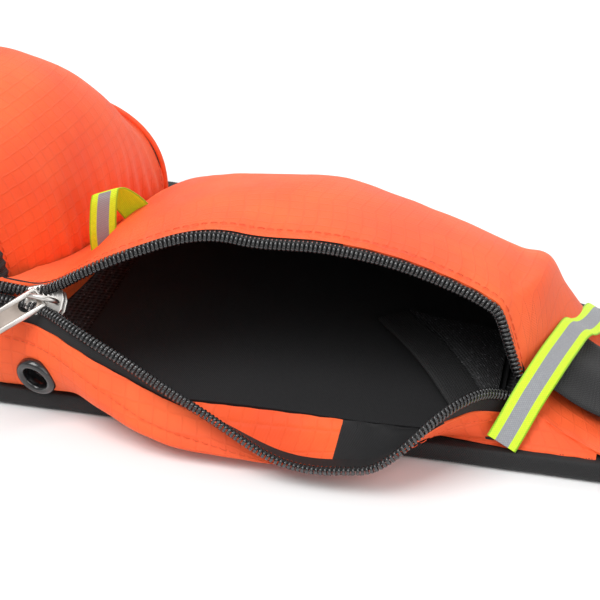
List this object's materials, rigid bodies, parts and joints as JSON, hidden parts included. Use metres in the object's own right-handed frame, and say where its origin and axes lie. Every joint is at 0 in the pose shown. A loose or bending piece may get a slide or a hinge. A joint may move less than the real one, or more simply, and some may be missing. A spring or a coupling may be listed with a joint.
{
  "type": "waist pack",
  "caption": "Waist pack lying on its back: bottle pocket between two zipped pouches, one open, on a padded back panel with bound wings and a buckled webbing belt.",
  "frame": {"origin": "middle of the back panel's face that lies against the wearer, level with the middle of the bottle pocket", "axes": "+X along the belt to the end with the buckle's male half, +Y to the bottle pocket's closed end and away from the zips, +Z away from the wearer"},
  "size_m": [0.8024, 0.1768, 0.081],
  "materials": {
    "orange_ripstop": "ripstop nylon",
    "black_webbing": "ribbed woven",
    "black_mesh": "open knit",
    "dark_lining": "matt woven",
    "hi_vis_tape": "fluorescent with a grey reflective stripe",
    "zip_tape": "matt woven with nylon teeth",
    "nickel_metal": "dull nickel plate",
    "black_lacquer": "gloss",
    "black_plastic": "moulded"
  },
  "bodies": {
    "root": {"back_panel": "black_mesh", "binding_near": "black_webbing", "binding_far": "black_webbing", "bottle_pocket": "orange_ripstop", "bottle_mouth_band": "black_webbing", "bottle_end_mesh": "black_mesh", "front_left": "orange_ripstop", "gusset_left": "orange_ripstop", "zip_left": "zip_tape", "eyelet_left": "black_lacquer", "eyelet_washer_left": "black_lacquer", "front_inner_right": "orange_ripstop", "front_outer_right": "orange_ripstop", "gusset_inner_right": "orange_ripstop", "gusset_outer_right": "orange_ripstop", "zip_inner_right": "zip_tape", "zip_outer_right": "zip_tape", "eyelet_right": "black_lacquer", "eyelet_washer_right": "black_lacquer", "lining_right": "dark_lining", "inner_elastic": "black_webbing", "inner_mesh": "black_mesh", "loop_tab": "hi_vis_tape", "reflective_tape_left": "hi_vis_tape", "reflective_tape_right": "hi_vis_tape", "web_end_left": "black_webbing", "web_end_right": "black_webbing"},
    "upper_flap": {"front_flap_right": "orange_ripstop", "zip_upper_right": "zip_tape"},
    "lower_flap": {"gusset_flap_right": "orange_ripstop", "zip_lower_right": "zip_tape"},
    "slider_right": {"slider_right": "nickel_metal"},
    "pull_right": {"pull_right": "nickel_metal"},
    "slider_left": {"slider_left": "nickel_metal"},
    "pull_left": {"pull_left": "nickel_metal"},
    "wing_right": {"wing_right": "orange_ripstop", "wing_binding_right": "black_webbing", "web_wing_right": "black_webbing"},
    "wing_left": {"wing_left": "orange_ripstop", "wing_binding_left": "black_webbing", "web_wing_left": "black_webbing"},
    "belt_right": {"web_free_right": "black_webbing", "buckle_frame": "black_plastic"},
    "belt_left": {"web_free_left": "black_webbing", "buckle_socket": "black_plastic"},
    "keeper": {"keeper": "black_plastic"},
    "prong_near": {"prong_near": "black_plastic"},
    "prong_far": {"prong_far": "black_plastic"}
  },
  "joints": [
    {"name": "slider_right_run", "type": "slide", "parent": "root", "child": "slider_right", "axis": [0.9921, 0.0479, -0.1163], "range_m": [0, 0.137]},
    {"name": "upper_flap_seam", "type": "hinge", "parent": "root", "child": "upper_flap", "pos_m": [0.135, 0.0385, 0.009], "axis": [0.9365, -0.3506, 0], "range_deg": [0, 15.4]},
    {"name": "lower_flap_seam", "type": "hinge", "parent": "root", "child": "lower_flap", "pos_m": [0.135, -0.0765, 0.0072], "axis": [-1, 0, 0], "range_deg": [0, 117]},
    {"name": "pull_right_hinge", "type": "hinge", "parent": "slider_right", "child": "pull_right", "pos_m": [0.06215, -0.07372, 0.03723], "axis": [-0.6734, 0.4148, 0.612], "range_deg": [0, 95]},
    {"name": "slider_left_run", "type": "slide", "parent": "root", "child": "slider_left", "axis": [0.9921, -0.0479, 0.1163], "range_m": [0, 0.137]},
    {"name": "pull_left_hinge", "type": "hinge", "parent": "slider_left", "child": "pull_left", "pos_m": [-0.19815, -0.06716, 0.02128], "axis": [-0.1152, -0.6285, -0.7692], "range_deg": [0, 120]},
    {"name": "wing_right_bend", "type": "hinge", "parent": "root", "child": "wing_right", "pos_m": [0.24, 0, 0.003], "axis": [0, 1, 0], "range_deg": [-20, 70]},
    {"name": "wing_left_bend", "type": "hinge", "parent": "root", "child": "wing_left", "pos_m": [-0.24, 0, 0.003], "axis": [0, -1, 0], "range_deg": [-20, 70]},
    {"name": "belt_right_bend", "type": "hinge", "parent": "wing_right", "child": "belt_right", "pos_m": [0.3044, -0.043, 0.0075], "axis": [0, 1, 0], "range_deg": [-60, 90]},
    {"name": "belt_left_bend", "type": "hinge", "parent": "wing_left", "child": "belt_left", "pos_m": [-0.3044, -0.043, 0.0075], "axis": [0, -1, 0], "range_deg": [-60, 90]},
    {"name": "keeper_slide", "type": "slide", "parent": "belt_right", "child": "keeper", "axis": [1, 0, 0], "range_m": [-0.002, 0.014]},
    {"name": "prong_near_squeeze", "type": "hinge", "parent": "belt_right", "child": "prong_near", "pos_m": [0.381, -0.057, 0.0075], "axis": [0, 0, 1], "range_deg": [0, 9], "stiffness_Nm_per_rad": 0.5},
    {"name": "prong_far_squeeze", "type": "hinge", "parent": "belt_right", "child": "prong_far", "pos_m": [0.381, -0.029, 0.0075], "axis": [0, 0, -1], "range_deg": [0, 9], "stiffness_Nm_per_rad": 0.5}
  ],
  "couplings": [
    {"joint": "upper_flap_seam", "follows": "lower_flap_seam", "ratio": 0.1316}
  ]
}
